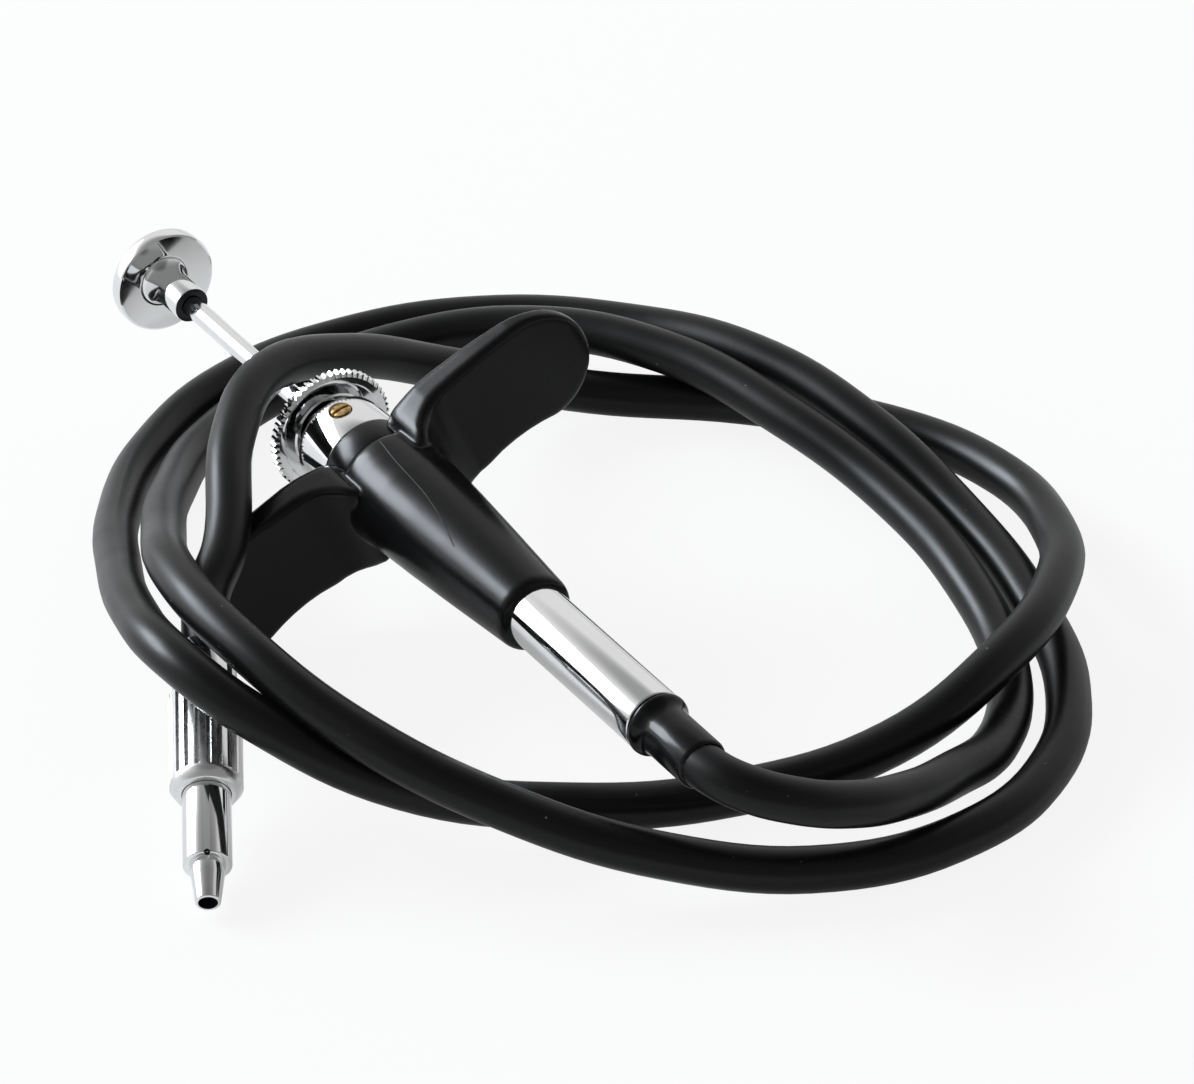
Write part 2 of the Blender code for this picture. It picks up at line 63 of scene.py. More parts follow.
# --- the cable's centreline, the same points as the part's own route ---
CABLE_ROUTE = [
    (48.5, 0, 17), (57, 0, 17), (64.2, 0, 17), (68.6, 1.8, 16.4), (72.2, 7, 14.6),
    (73.2, 14, 12.2), (71.4, 22.4, 9.4), (67.4, 31.4, 6.6), (61.6, 41.6, 4), (49.4, 51.6, 3.2),
    (31.2, 57.8, 4.2), (11.8, 59.2, 6), (-7.2, 56, 8.4), (-26, 50.8, 9.2), (-41.6, 40.6, 8),
    (-50.2, 26.2, 5.6), (-51, 10.2, 3.8), (-44.2, -4.2, 4.4), (-30.6, -16.4, 8.4),
    (-14.8, -26.2, 14.4), (2, -33.6, 20), (18.8, -35, 20.8), (35.6, -29.8, 16.4),
    (50.4, -18.6, 10.4), (62.8, -4.4, 5.6), (71.6, 12.6, 3), (73.8, 29.8, 3), (68.2, 44.4, 3),
    (55.4, 56, 3), (37.2, 63, 3), (18.2, 66, 4), (-1, 64.2, 7.8), (-19.8, 60, 9),
    (-37.4, 52, 7), (-51, 39, 5.2), (-57.8, 22.8, 3.6), (-56.8, 5.4, 3), (-48, -10.2, 3),
    (-33.2, -22.6, 5.4), (-16.6, -31.4, 10.2), (0.8, -38.6, 15.8), (16, -41.6, 19),
    (27.8, -37.4, 15.8), (38.4, -25, 8.4), (46.4, -7, 3.8), (53, 11.2, 3), (56.6, 30.2, 5.2),
    (53.8, 47, 9.4), (44, 61.6, 9.4), (28.8, 71.8, 6.2), (12.4, 74.6, 4.6), (-4.4, 69.8, 3.6),
    (-19.2, 58.2, 3), (-30, 42.4, 4), (-34.8, 26.2, 9.8), (-32.6, 9.2, 18.4), (-27.4, -4.8, 23),
    (-18.2, -14.6, 22.4), (-3, -24.4, 17.9), (2.2, -29.8, 15.6), (7.6, -33.1, 13.6),
    (12.5, -35.8, 11.8),
]
CABLE_DIAMETER = 5.5

# --- driving sizes that the frame doesn't give by itself ---
ROUND_SIDES = 96
ROD_RADIUS = 1.3
HUB_RADIUS = 2.3
DISC_TEETH = 56
TOOTH_SIDES = 4          # of the disc's sides, in a tooth and its gap together
COLLAR_BORE = 3.5
SPIGOT_BORE = 2.6
SCREW_RADIUS = 1.28
SCREW_LEAN = 13.0        # degrees, towards the near side
TUBE_BORE = 3.3
TIP_FLUTES = 20
FLUTE_SIDES = 12         # of the tip collar's sides, in each flute
SMOOTH_ANGLE = 40.0      # edges sharper than this stay crisp

# --- the T-grip, with stations counted from its top end ---
BAND_LONG = 4.4          # the narrower top band
BARREL = [(4.7, 6.64), (5.3, 6.75), (6.5, 6.8), (8.0, 6.8), (12.0, 6.7), (18.0, 6.36), (25.0, 5.87),
          (36.8, 4.98), (38.2, 4.88), (38.8, 4.66), (39.0, 4.3)]  # station, radius
MOULD_LINE = [(5.4, 12.5), (6.8, 14.0), (9.0, 16.3), (11.5, 18.0), (14.1, 19.2), (16.8, 20.8),
              (19.4, 24.0), (21.6, 28.0), (24.3, 35.0), (26.8, 43.0)]  # station, degrees from the top
WING_ROLL = 25.0
WING_REACH = 22.0        # from the axis to the centre of the wing's round end
WING_END = 7.8           # radius of the wing's round end
WING_SLIMMER = 4.2       # how much slimmer the wing's section is than it is high
# The wing by distance from the axis: its half heights, then its faces' stations.
WING_UPPER = [(0.0, 4.2), (3.6, 4.6), (4.4, 5.3), (5.0, 5.9), (5.8, 6.25), (7.0, 6.5), (9.0, 6.85),
              (12.5, 7.15), (17.0, 7.55), (22.0, 7.8)]
WING_LOWER = [(0.0, 4.2), (3.6, 4.8), (5.4, 6.9), (7.4, 8.0), (9.2, 8.4), (10.5, 8.1), (12.0, 7.7),
              (14.0, 7.3), (16.0, 7.1), (19.0, 7.1), (22.0, 7.7)]
WING_FRONT = [(5.0, 8.9), (6.0, 8.5), (6.8, 7.5), (7.8, 6.5), (9.0, 5.8), (10.5, 5.4), (14.0, 5.4),
              (22.0, 5.7)]
WING_BACK = [(5.0, 1.3), (8.0, 1.1), (11.0, 1.1), (17.0, 1.9), (21.0, 2.7), (25.0, 3.6), (29.8, 4.0)]
WING_STEPS = [-1.0, 3.0, 3.6, 4.0, 4.4, 4.9, 5.4, 5.8, 6.4, 6.8, 7.4, 7.8, 8.4, 9.0, 9.8, 10.5, 11.2,
              12.0, 13.0, 14.0, 16.0, 18.0, 20.0, 22.0]
ROOT_REACH, ROOT_SPREAD = 7.0, 2.6   # where the wings' root fillets lie, from the axis
ROOT_START, ROOT_END = 5.5, 14.0     # and between which stations
SKIN_VOXEL = 0.26

# --- the studio ---
FLOOR_SIZE = 6.0         # metres
FLOOR_DROP = 0.2         # keeps the floor clear of what lies on it
FLOOR_WHITE = 0.88       # share of the floor that shows plain white; the rest takes the shadow
FLOOR_MIRRORED = 0.30    # the same share in the chrome and in gloss, which show more of the shadow
# Name, azimuth and elevation in degrees, distance and size in metres, watts, colour.
LAMPS = [
    ("window", -147.0, 26.0, 2.0, (1.1, 0.74), 48.0, (0.84, 0.92, 1.0)),
    ("curtain", -148.0, 21.0, 2.2, (2.2, 1.7), 18.0, (0.92, 0.96, 1.0)),
]


# --- places read from the frame ----------------------------------------------------------------


def low(node):
    """Lowest corner of a node's box, in millimetres."""
    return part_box(node)[0] / MM


def high(node):
    """Highest corner of a node's box, in millimetres."""
    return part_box(node)[1] / MM


def half_width(node):
    """Radius of a turned node on the grip's axis."""
    return (high(node).y - low(node).y) / 2


AXIS_HEIGHT = (low("barrel_tube").z + high("barrel_tube").z) / 2
GRIP_TOP = low("grip").x
TIP_JOINT = next(joint for joint in frame["joints"] if joint["name"] == "tip_spin")
TIP_FORWARD = Vector(TIP_JOINT["axis"]).normalized()
TIP_COLLAR_FRONT = 15.4  # the tip collar's front edge, counted back from the nose's end
GRIP_TURN = Matrix(((0, 0, 1), (1, 0, 0), (0, 1, 0))).to_4x4()
NOSE_END = Vector(TIP_JOINT["pos_m"]) / MM + TIP_FORWARD * TIP_COLLAR_FRONT


def lay_on_grip_axis(station):
    """Turns a piece modelled upright so that its +Z runs along the grip's axis."""
    return Matrix.Translation(Vector((station, 0.0, AXIS_HEIGHT)) * MM) @ GRIP_TURN


def lay_on_tip_axis():
    """Turns a piece modelled upright so that its +Z runs back from the nose's end."""
    back = -TIP_FORWARD
    side = Vector((0, 0, 1)).cross(back).normalized()
    turn = Matrix((side, back.cross(side), back)).transposed().to_4x4()
    return Matrix.Translation(NOSE_END * MM) @ turn


# --- materials ---------------------------------------------------------------------------------


def new_finish(name, colour, metallic, roughness):
    """A new material with its plain values; gives it, its node tree and its shader."""
    mat = bpy.data.materials.new(name)
    mat.use_nodes = True
    shader = mat.node_tree.nodes["Principled BSDF"]
    shader.inputs["Base Color"].default_value = (*colour, 1.0)
    shader.inputs["Metallic"].default_value = metallic
    shader.inputs["Roughness"].default_value = roughness
    return mat, mat.node_tree, shader


def add_noise(tree, scale, detail=2.0, stretch=(1, 1, 1)):
    """Noise on the piece's own coordinates, in metres; stretch squeezes it along an axis."""
    where = tree.nodes.new("ShaderNodeTexCoord")
    mapping = tree.nodes.new("ShaderNodeMapping")
    mapping.inputs["Scale"].default_value = stretch
    noise = tree.nodes.new("ShaderNodeTexNoise")
    noise.inputs["Scale"].default_value = scale
    noise.inputs["Detail"].default_value = detail
    tree.links.new(where.outputs["Object"], mapping.inputs["Vector"])
    tree.links.new(mapping.outputs["Vector"], noise.inputs["Vector"])
    return noise.outputs["Fac"]


def add_range(tree, value, lowest, highest, start=0.35, end=0.65):
    """Spreads a value between start and end over lowest to highest."""
    spread = tree.nodes.new("ShaderNodeMapRange")
    spread.inputs["From Min"].default_value = start
    spread.inputs["From Max"].default_value = end
    spread.inputs["To Min"].default_value = lowest
    spread.inputs["To Max"].default_value = highest
    tree.links.new(value, spread.inputs["Value"])
    return spread.outputs["Result"]


def add_ramp(tree, value, stops):
    """Turns a value into a colour by stops of (position, colour)."""
    ramp = tree.nodes.new("ShaderNodeValToRGB")
    for index, (position, colour) in enumerate(stops):
        stop = ramp.color_ramp.elements[index] if index < 2 else ramp.color_ramp.elements.new(position)
        stop.position = position
        stop.color = (*colour, 1.0)
    tree.links.new(value, ramp.inputs["Fac"])
    return ramp.outputs["Color"]


def add_bump(tree, shader, height, strength, distance):
    """Bumps the surface by a value, with the distance in millimetres."""
    bump = tree.nodes.new("ShaderNodeBump")
    bump.inputs["Strength"].default_value = strength
    bump.inputs["Distance"].default_value = distance * MM
    tree.links.new(height, bump.inputs["Height"])
    tree.links.new(bump.outputs["Normal"], shader.inputs["Normal"])


def chrome_plate(name, tint=(0.84, 0.845, 0.85), roughness=(0.035, 0.10)):
    """Bright nickel-chrome plate with faint polishing haze."""
    mat, tree, shader = new_finish(name, tint, 1.0, roughness[0])
    haze = add_noise(tree, 260.0, 3.0)
    tree.links.new(add_range(tree, haze, *roughness), shader.inputs["Roughness"])
    darker = tuple(c * 0.94 for c in tint)
    cloud = add_noise(tree, 90.0)
    tree.links.new(add_ramp(tree, cloud, [(0.3, darker), (0.7, tint)]), shader.inputs["Base Color"])
    return mat


def turned_brass(name, bright=1.0):
    """Bare turned brass, a little tarnished; bright below 1 is darker, and a very low bright is
    painted shade.
    """
    shades = [tuple(c * bright for c in shade)
              for shade in ((0.44, 0.24, 0.08), (0.72, 0.47, 0.20), (0.84, 0.62, 0.33))]
    mat, tree, shader = new_finish(name, shades[1], 1.0, 0.3)
    tarnish = add_noise(tree, 1500.0, 4.0)
    tree.links.new(add_ramp(tree, tarnish, [(0.34, shades[0]), (0.48, shades[1]), (0.68, shades[2])]),
                   shader.inputs["Base Color"])
    tree.links.new(add_range(tree, tarnish, 0.26, 0.46), shader.inputs["Roughness"])
    return mat


def drawn_steel(name):
    """Grey spring and pin steel with lengthwise drawing marks."""
    mat, tree, shader = new_finish(name, (0.56, 0.57, 0.59), 1.0, 0.28)
    marks = add_noise(tree, 900.0, 3.0, (0.1, 1, 1))
    tree.links.new(add_range(tree, marks, 0.20, 0.36), shader.inputs["Roughness"])
    return mat


def painted_shade_steel(name):
    """Steel with a dull blue-black oxide finish, used as painted shade on faces that sit in shade."""
    mat, tree, shader = new_finish(name, (0.03, 0.032, 0.036), 0.6, 0.42)
    patches = add_noise(tree, 800.0, 3.0)
    shades = [(0.35, (0.018, 0.019, 0.022)), (0.7, (0.05, 0.052, 0.058))]
    tree.links.new(add_ramp(tree, patches, shades), shader.inputs["Base Color"])
    tree.links.new(add_range(tree, patches, 0.34, 0.5), shader.inputs["Roughness"])
    return mat


def moulded_black(name, colour=(0.0042, 0.0042, 0.0044), roughness=(0.21, 0.29)):
    """Satin black moulding: soft flow unevenness, handling haze and a few specks of dust."""
    mat, tree, shader = new_finish(name, colour, 0.0, roughness[0])
    shader.inputs["Specular IOR Level"].default_value = 0.20
    haze = add_noise(tree, 55.0, 4.0)
    tree.links.new(add_range(tree, haze, *roughness), shader.inputs["Roughness"])
    specks = add_noise(tree, 1500.0, 1.0)
    dust = tuple(c + 0.06 for c in colour)
    tree.links.new(add_ramp(tree, specks, [(0.78, colour), (0.83, dust)]), shader.inputs["Base Color"])
    add_bump(tree, shader, add_noise(tree, 420.0, 3.0), 0.12, 0.05)
    return mat


def jacket_vinyl(name):
    """Glossy black vinyl jacket: slow dents along its length, fine grain and stray dust."""
    colour = (0.0042, 0.0042, 0.0043)
    mat, tree, shader = new_finish(name, colour, 0.0, 0.3)
    shader.inputs["Specular IOR Level"].default_value = 0.23
    haze = add_noise(tree, 70.0, 3.0)
    tree.links.new(add_range(tree, haze, 0.30, 0.40), shader.inputs["Roughness"])
    specks = add_noise(tree, 1300.0, 1.0)
    tree.links.new(add_ramp(tree, specks, [(0.79, colour), (0.83, (0.12, 0.12, 0.12))]),
                   shader.inputs["Base Color"])
    add_bump(tree, shader, add_noise(tree, 240.0, 4.0), 0.15, 0.08)
    return mat


# --- modelling helpers -------------------------------------------------------------------------


def select_only(piece):
    """Makes a piece the only one that the operators act on."""
    bpy.ops.object.select_all(action="DESELECT")
    piece.select_set(True)
    bpy.context.view_layer.objects.active = piece


def turn_up(name, steps, sides, filled):
    """Turns a piece upright: a circle extruded from step to step of (height, radius)."""
    bpy.ops.object.select_all(action="DESELECT")
    height, radius = steps[0]
    bpy.ops.mesh.primitive_circle_add(vertices=sides, radius=radius * MM,
                                      fill_type="NGON" if filled else "NOTHING")
    piece = bpy.context.object
    piece.name = name
    bpy.ops.object.mode_set(mode="EDIT")
    bpy.ops.mesh.select_all(action="SELECT")
    bpy.ops.transform.translate(value=(0, 0, height * MM))
    extrude = bpy.ops.mesh.extrude_region_move if filled else bpy.ops.mesh.extrude_edges_move
    outline = steps if filled else steps + steps[:1]
    for (below, before), (above, after) in zip(outline, outline[1:]):
        extrude(TRANSFORM_OT_translate={"value": (0, 0, (above - below) * MM)})
        grow = after / before
        bpy.ops.transform.resize(value=(grow, grow, 1), center_override=(0, 0, above * MM))
    bpy.ops.mesh.select_all(action="SELECT")
    if not filled:
        bpy.ops.mesh.remove_doubles(threshold=0.0005 * MM)
    bpy.ops.mesh.normals_make_consistent(inside=False)
    bpy.ops.object.mode_set(mode="OBJECT")
    return piece


def turn_solid(name, steps, sides=ROUND_SIDES):
    """Turns a solid piece, closed by a round face at both ends."""
    return turn_up(name, steps, sides, True)


def turn_ring(name, steps, sides=ROUND_SIDES):
    """Turns a hollow piece from a closed outline."""
    return turn_up(name, steps, sides, False)


def shape_with(piece, kind, **settings):
    """Gives a piece a modifier with these settings and applies it."""
    select_only(piece)
    modifier = piece.modifiers.new(kind.lower(), kind)
    for setting, value in settings.items():
        setattr(modifier, setting, value)
    bpy.ops.object.modifier_apply(modifier=modifier.name)


def shade(piece, angle=SMOOTH_ANGLE):
    """Shades a piece smooth, but for its edges sharper than the angle."""
    select_only(piece)
    bpy.ops.object.shade_smooth_by_angle(angle=math.radians(angle))


def soften(piece, width, angle=30.0, segments=3):
    """Rounds the edges sharper than the angle with a bevel."""
    shape_with(piece, "BEVEL", width=width * MM, segments=segments, limit_method="ANGLE",
               angle_limit=math.radians(angle))
    shade(piece)


def push_in(piece, radius, depth, wanted):
    """Moves the rim vertices that pass the test towards the upright axis by the depth."""
    select_only(piece)
    bpy.ops.object.mode_set(mode="EDIT")
    bpy.ops.mesh.select_mode(type="VERT")
    mesh = bmesh.from_edit_mesh(piece.data)
    for vert in mesh.verts:
        vert.select_set(wanted(vert.co))
    bmesh.update_edit_mesh(piece.data)
    shrink = (radius - depth) / radius
    bpy.ops.transform.resize(value=(shrink, shrink, 1), center_override=(0, 0, 0))
    bpy.ops.object.mode_set(mode="OBJECT")


def side_of(point, sides):
    """Which of the sides round the upright axis a point lies on."""
    return round(math.atan2(point.y, point.x) / (math.tau / sides))


def place(piece, matrix):
    """Lays an upright piece on its axis and puts its place into its mesh."""
    select_only(piece)
    piece.matrix_world = matrix
    bpy.ops.object.transform_apply(location=True, rotation=True, scale=True)


def dress(piece, mat):
    """Makes a material the piece's only one."""
    piece.data.materials.clear()
    piece.data.materials.append(mat)


def stand_for(piece, mat, body, slot, *nodes):
    """Finishes a piece: its material, the body it rides on and the nodes that it stands for."""
    dress(piece, mat)
    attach(piece, body)
    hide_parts(*nodes)


def inner_faces(piece, lowest, highest, radius):
    """Faces of an upright piece between two heights and within a radius of its axis."""
    return [face.index for face in piece.data.polygons
            if lowest * MM < face.center.z < highest * MM
            and Vector(face.center).xy.length < radius * MM]


def dress_faces(piece, faces, mat):
    """Gives some faces a second finish."""
    piece.data.materials.append(mat)
    for index in faces:
        piece.data.polygons[index].material_index = 1


def cut_with(piece, cutter, operation="DIFFERENCE"):
    """Cuts or joins with an exact boolean and removes the cutter."""
    shape_with(piece, "BOOLEAN", operation=operation, solver="EXACT", object=cutter)
    bpy.data.objects.remove(cutter)


def add_block(size, location, turn):
    """A plain block to cut with, turned by Euler angles in degrees."""
    bpy.ops.object.select_all(action="DESELECT")
    bpy.ops.mesh.primitive_cube_add(size=1.0, location=Vector(location) * MM)
    block = bpy.context.object
    block.scale = Vector(size) * MM
    block.rotation_euler = [math.radians(angle) for angle in turn]
    bpy.ops.object.transform_apply(location=True, rotation=True, scale=True)
    return block


def draw_round(name, radius, spots, roundness, steps):
    """A round curve piece, drawn smoothly through its points."""
    curve = bpy.data.curves.new(name, "CURVE")
    curve.dimensions = "3D"
    curve.bevel_depth = radius * MM
    curve.bevel_resolution = roundness
    curve.resolution_u = steps
    curve.use_fill_caps = True
    line = curve.splines.new("BEZIER")
    line.bezier_points.add(len(spots) - 1)
    for point, spot in zip(line.bezier_points, spots):
        point.co = Vector(spot) * MM
        point.handle_left_type = point.handle_right_type = "AUTO"
    piece = bpy.data.objects.new(name, curve)
    bpy.context.collection.objects.link(piece)
    return piece


# --- plunger -----------------------------------------------------------------------------------


def make_button():
    """Thumb button: flat crowned top, narrow rim band, hollow underside and a hub."""
    top = low("button_head").x
    end = high("button_head").x - top
    radius = half_width("button_head")
    rim = 2.3
    steps = [(0.42, 0.4), (0.40, 1.6), (0.28, 3.4), (0.08, 5.2), (0.0, radius - 0.75),
             (0.12, radius - 0.3), (0.5, radius - 0.03), (0.9, radius), (rim - 0.45, radius),
             (rim - 0.12, radius - 0.1), (rim, radius - 0.32), (rim - 0.06, radius - 0.6),
             (rim - 0.58, 3.5), (rim - 0.59, 3.3), (rim - 0.52, 3.1), (rim - 0.36, 2.94),
             (rim - 0.1, 2.8), (rim + 0.25, 2.66), (rim + 0.7, 2.52), (rim + 1.3, 2.4),
             (rim + 2.0, HUB_RADIUS + 0.02), (end - 0.3, HUB_RADIUS), (end - 0.07, HUB_RADIUS - 0.06),
             (end, HUB_RADIUS - 0.16), (end, ROD_RADIUS + 0.09), (end - 0.3, ROD_RADIUS + 0.07)]
    button = turn_solid("button", steps, 160)
    shade(button)
    hub_end = inner_faces(button, end - 0.35, end + 1.0, HUB_RADIUS - 0.1)
    place(button, lay_on_grip_axis(top))
    stand_for(button, chrome_plate("button_plate"), "plunger", "button_chrome", "button_head")
    # painted shade: the hub's end is given a black finish to stand in for the shade round the rod
    dress_faces(button, hub_end, painted_shade_steel("hub_end_painted_shade"))


def make_rod():
    """Plunger rod, from inside the button's hub to its thin end in the grip."""
    inside_hub, thin_station = 2.6, 15.0
    start, end = low("plunger_rod").x + inside_hub, high("plunger_rod").x
    rod = turn_solid("rod", [(0, ROD_RADIUS), (thin_station + GRIP_TOP - start, ROD_RADIUS),
                             (end - start, 1.0)], 64)
    soften(rod, 0.15)
    place(rod, lay_on_grip_axis(start))
    stand_for(rod, chrome_plate("rod_plate"), "plunger", "rod_chrome", "plunger_rod")


# --- disc lock ---------------------------------------------------------------------------------


def make_lock_disc():
    """Toothed disc: every other pair of rim faces is pushed in to leave square teeth."""
    start, end = low("lock_disc").x, high("lock_disc").x
    radius, thick = half_width("lock_disc"), end - start
    bore = half_width("lock_sleeve") + 0.05
    face = 0.22
    sides = DISC_TEETH * TOOTH_SIDES
    disc = turn_ring("toothed_disc", [
        (0.0, bore), (0.0, 5.0), (face, 5.2), (face, 6.5), (0.0, 6.7), (0.0, radius - 0.55),
        (0.3, radius), (thick - 0.3, radius), (thick, radius - 0.55), (thick, 6.7),
        (thick - face, 6.5), (thick - face, 5.2), (thick, 5.0), (thick, bore)], sides)
    push_in(disc, radius, 0.26, lambda point: point.xy.length > (radius - 0.2) * MM
            and side_of(point, sides) % TOOTH_SIDES in (0, 1))
    shade(disc, 28.0)
    place(disc, lay_on_grip_axis(start))
    stand_for(disc, chrome_plate("disc_plate", roughness=(0.05, 0.11)),
              "lock", "disc_chrome", "lock_disc")


def make_collar():
    """Release collar with a countersunk hole for its screw."""
    start = low("release_collar").x
    radius = half_width("release_collar")
    end = GRIP_TOP - start
    collar = turn_ring("lock_collar", [
        (0.0, COLLAR_BORE), (0.0, radius - 0.3), (0.3, radius), (end - 0.05, radius),
        (end - 0.05, COLLAR_BORE), (end + 5.5, COLLAR_BORE), (end + 5.5, SPIGOT_BORE),
        (5.6, SPIGOT_BORE), (5.6, COLLAR_BORE)], 128)
    soften(collar, 0.12)
    place(collar, lay_on_grip_axis(start))
    hole = turn_solid("hole", [(2.6, SCREW_RADIUS + 0.12), (radius - 0.25, SCREW_RADIUS + 0.12),
                               (radius + 0.4, SCREW_RADIUS + 0.55)], 64)
    place(hole, screw_axis())
    cut_with(collar, hole)
    shade(collar)
    stand_for(collar, chrome_plate("collar_plate"), "handle", "collar_chrome", "release_collar")


def screw_axis():
    """The set screw's axis: across the collar, leaning a little to the near side."""
    lean = Matrix.Rotation(math.radians(SCREW_LEAN), 4, "X")
    station = (low("release_collar").x + GRIP_TOP) / 2 - 0.9
    return Matrix.Translation(Vector((station, 0.0, AXIS_HEIGHT)) * MM) @ lean


def make_set_screw():
    """Brass set screw with a low crowned face and a screwdriver slot."""
    top = half_width("release_collar") + 0.12
    screw = turn_solid("slotted_screw", [
        (3.7, 0.9), (4.3, SCREW_RADIUS - 0.02), (top - 0.25, SCREW_RADIUS - 0.02),
        (top - 0.08, SCREW_RADIUS - 0.16), (top, SCREW_RADIUS - 0.6), (top + 0.03, 0.2)], 64)
    cut_with(screw, add_block((4.0, 0.5, 1.1), (0, 0, top), (0, 0, 93.0)))
    soften(screw, 0.04, 35.0, 2)
    slot_faces = inner_faces(screw, 0.0, top - 0.12, SCREW_RADIUS - 0.08)
    place(screw, screw_axis())
    stand_for(screw, turned_brass("screw_brass_bare", 0.72), "handle", "screw_brass", "set_screw")
    # painted shade: the slot's faces get a near-black copy of the brass for the shade in the slot
    dress_faces(screw, slot_faces, turned_brass("slot_painted_shade", 0.16))


# --- T-grip ------------------------------------------------------------------------------------


def along_table(table, spot):
    """Value at a spot between the rows of a short table of (spot, value)."""
    if spot <= table[0][0]:
        return table[0][1]
    for (start, first), (end, last) in zip(table, table[1:]):
        if spot <= end:
            return first + (last - first) * (spot - start) / (end - start)
    return table[-1][1]


def wing_section(reach):
    """The wing's (back, front, lower, upper) at a distance from the grip's axis."""
    past = max(0.0, reach - WING_REACH)
    round_end = math.sqrt(max(0.0, WING_END ** 2 - past ** 2))
    upper = min(round_end, along_table(WING_UPPER, reach))
    lower = -min(round_end, along_table(WING_LOWER, reach))
    front, back = along_table(WING_FRONT, reach), along_table(WING_BACK, reach)
    squeeze = 0.22 * (front - back) * max(0.0, 1.0 - upper / 4.0)
    return back + squeeze, front - squeeze, lower, upper


def make_wing(side):
    """One wing: a rounded section drawn out from the axis, step by step, to its round end."""
    reaches = WING_STEPS + [WING_REACH + WING_END * math.sin(math.radians(turn))
                            for turn in range(8, 88, 6)]
    bpy.ops.object.select_all(action="DESELECT")
    bpy.ops.mesh.primitive_plane_add(size=1.0)
    wing = bpy.context.object
    wing.name = "wing"
    bpy.ops.object.mode_set(mode="EDIT")
    bpy.ops.mesh.select_all(action="SELECT")
    bpy.ops.transform.resize(value=(1, WING_SLIMMER, 1))
    bpy.ops.mesh.bevel(offset=0.23, segments=5, affect="VERTICES")
    bpy.ops.transform.resize(value=(1, 1 / WING_SLIMMER, 1))
    bpy.ops.object.mode_set(mode="OBJECT")
    wing.rotation_euler = (math.radians(90.0), 0, 0)
    bpy.ops.object.transform_apply(location=True, rotation=True, scale=True)
    bpy.ops.object.mode_set(mode="EDIT")
    bpy.ops.mesh.select_all(action="SELECT")
    was_wide = was_high = 1.0 / MM
    was_middle = Vector((0.0, 0.0, 0.0))
    for index, reach in enumerate(reaches):
        back, front, lower, upper = wing_section(reach)
        middle = Vector(((back + front) / 2, side * reach, (lower + upper) / 2))
        shift = (middle - was_middle) * MM
        if index == 0:
            bpy.ops.transform.translate(value=shift)
        else:
            bpy.ops.mesh.extrude_region_move(TRANSFORM_OT_translate={"value": shift})
        bpy.ops.transform.resize(value=((front - back) / was_wide, 1, (upper - lower) / was_high),
                                 center_override=middle * MM)
        was_wide, was_high, was_middle = front - back, upper - lower, middle
    bpy.ops.mesh.select_all(action="SELECT")
    bpy.ops.mesh.normals_make_consistent(inside=False)
    bpy.ops.object.mode_set(mode="OBJECT")
    wing.matrix_world = Matrix.Rotation(math.radians(WING_ROLL), 4, "X")
    bpy.ops.object.transform_apply(location=True, rotation=True, scale=True)
    return wing


def make_grip():
    """T-grip moulding: tapered barrel and two wings fused, with soft fillets at the roots."""
    barrel = turn_solid("grip_body", [(BAND_LONG - 1.0, 5.9), (BAND_LONG, 6.1)] + BARREL)
    place(barrel, GRIP_TURN)
    for side in (1, -1):
        cut_with(barrel, make_wing(side), "UNION")
    shape_with(barrel, "REMESH", mode="VOXEL", voxel_size=SKIN_VOXEL * MM)
    roots = barrel.vertex_groups.new(name="wing_roots")
    roll = Matrix.Rotation(math.radians(-WING_ROLL), 3, "X")
    for vert in barrel.data.vertices:
        reach = abs((roll @ vert.co).y) / MM
        forward = min(1.0, max(0.0, (vert.co.x / MM - ROOT_START) / 2.0))
        weight = forward * max(0.0, 1.0 - abs(reach - ROOT_REACH) / ROOT_SPREAD)
        roots.add([vert.index], weight if vert.co.x < ROOT_END * MM else 0.0, "REPLACE")
    for rounds, group in ((5, ""), (26, "wing_roots")):
        shape_with(barrel, "SMOOTH", factor=0.5, iterations=rounds, vertex_group=group)
    bpy.ops.object.shade_smooth()
    barrel.vertex_groups.clear()
    place(barrel, Matrix.Translation(Vector((GRIP_TOP, 0.0, AXIS_HEIGHT)) * MM))
    finish = moulded_black("grip_moulding")
    stand_for(barrel, finish, "handle", "grip_black", "grip")
    band = turn_solid("grip_top_band", [(0.0, 5.7), (0.1, 5.98), (0.4, 6.2), (BAND_LONG - 0.3, 6.3),
                                        (BAND_LONG, 6.2), (BAND_LONG + 0.3, 5.8)], 128)
    soften(band, 0.1, 25.0)
    place(band, lay_on_grip_axis(GRIP_TOP))
    dress(band, finish)
    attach(band, "handle")


def make_mould_line():
    """The fine flash line that the mould's halves left on the barrel, a hair proud of it."""
    spots = []
    for station, turn in MOULD_LINE:
        out, angle = along_table(BARREL, station) - 0.02, math.radians(turn)
        spots.append((GRIP_TOP + station, -out * math.sin(angle), AXIS_HEIGHT + out * math.cos(angle)))
    flash = draw_round("mould_line", 0.075, spots, 1, 12)
    dress(flash, bpy.data.materials["grip_moulding"])
    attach(flash, "handle")


# --- tube, boot and cable ----------------------------------------------------------------------


def make_tube():
    """Chrome sleeve that comes out of the grip's lower end."""
    start, end = low("barrel_tube").x, high("barrel_tube").x
    radius = half_width("barrel_tube")
    tube = turn_ring("barrel_sleeve", [(0.0, TUBE_BORE), (0.0, radius), (end - start, radius),
                                       (end - start, TUBE_BORE)], 128)
    soften(tube, 0.2)
    place(tube, lay_on_grip_axis(start))
    stand_for(tube, chrome_plate("tube_plate"), "handle", "tube_chrome", "barrel_tube")


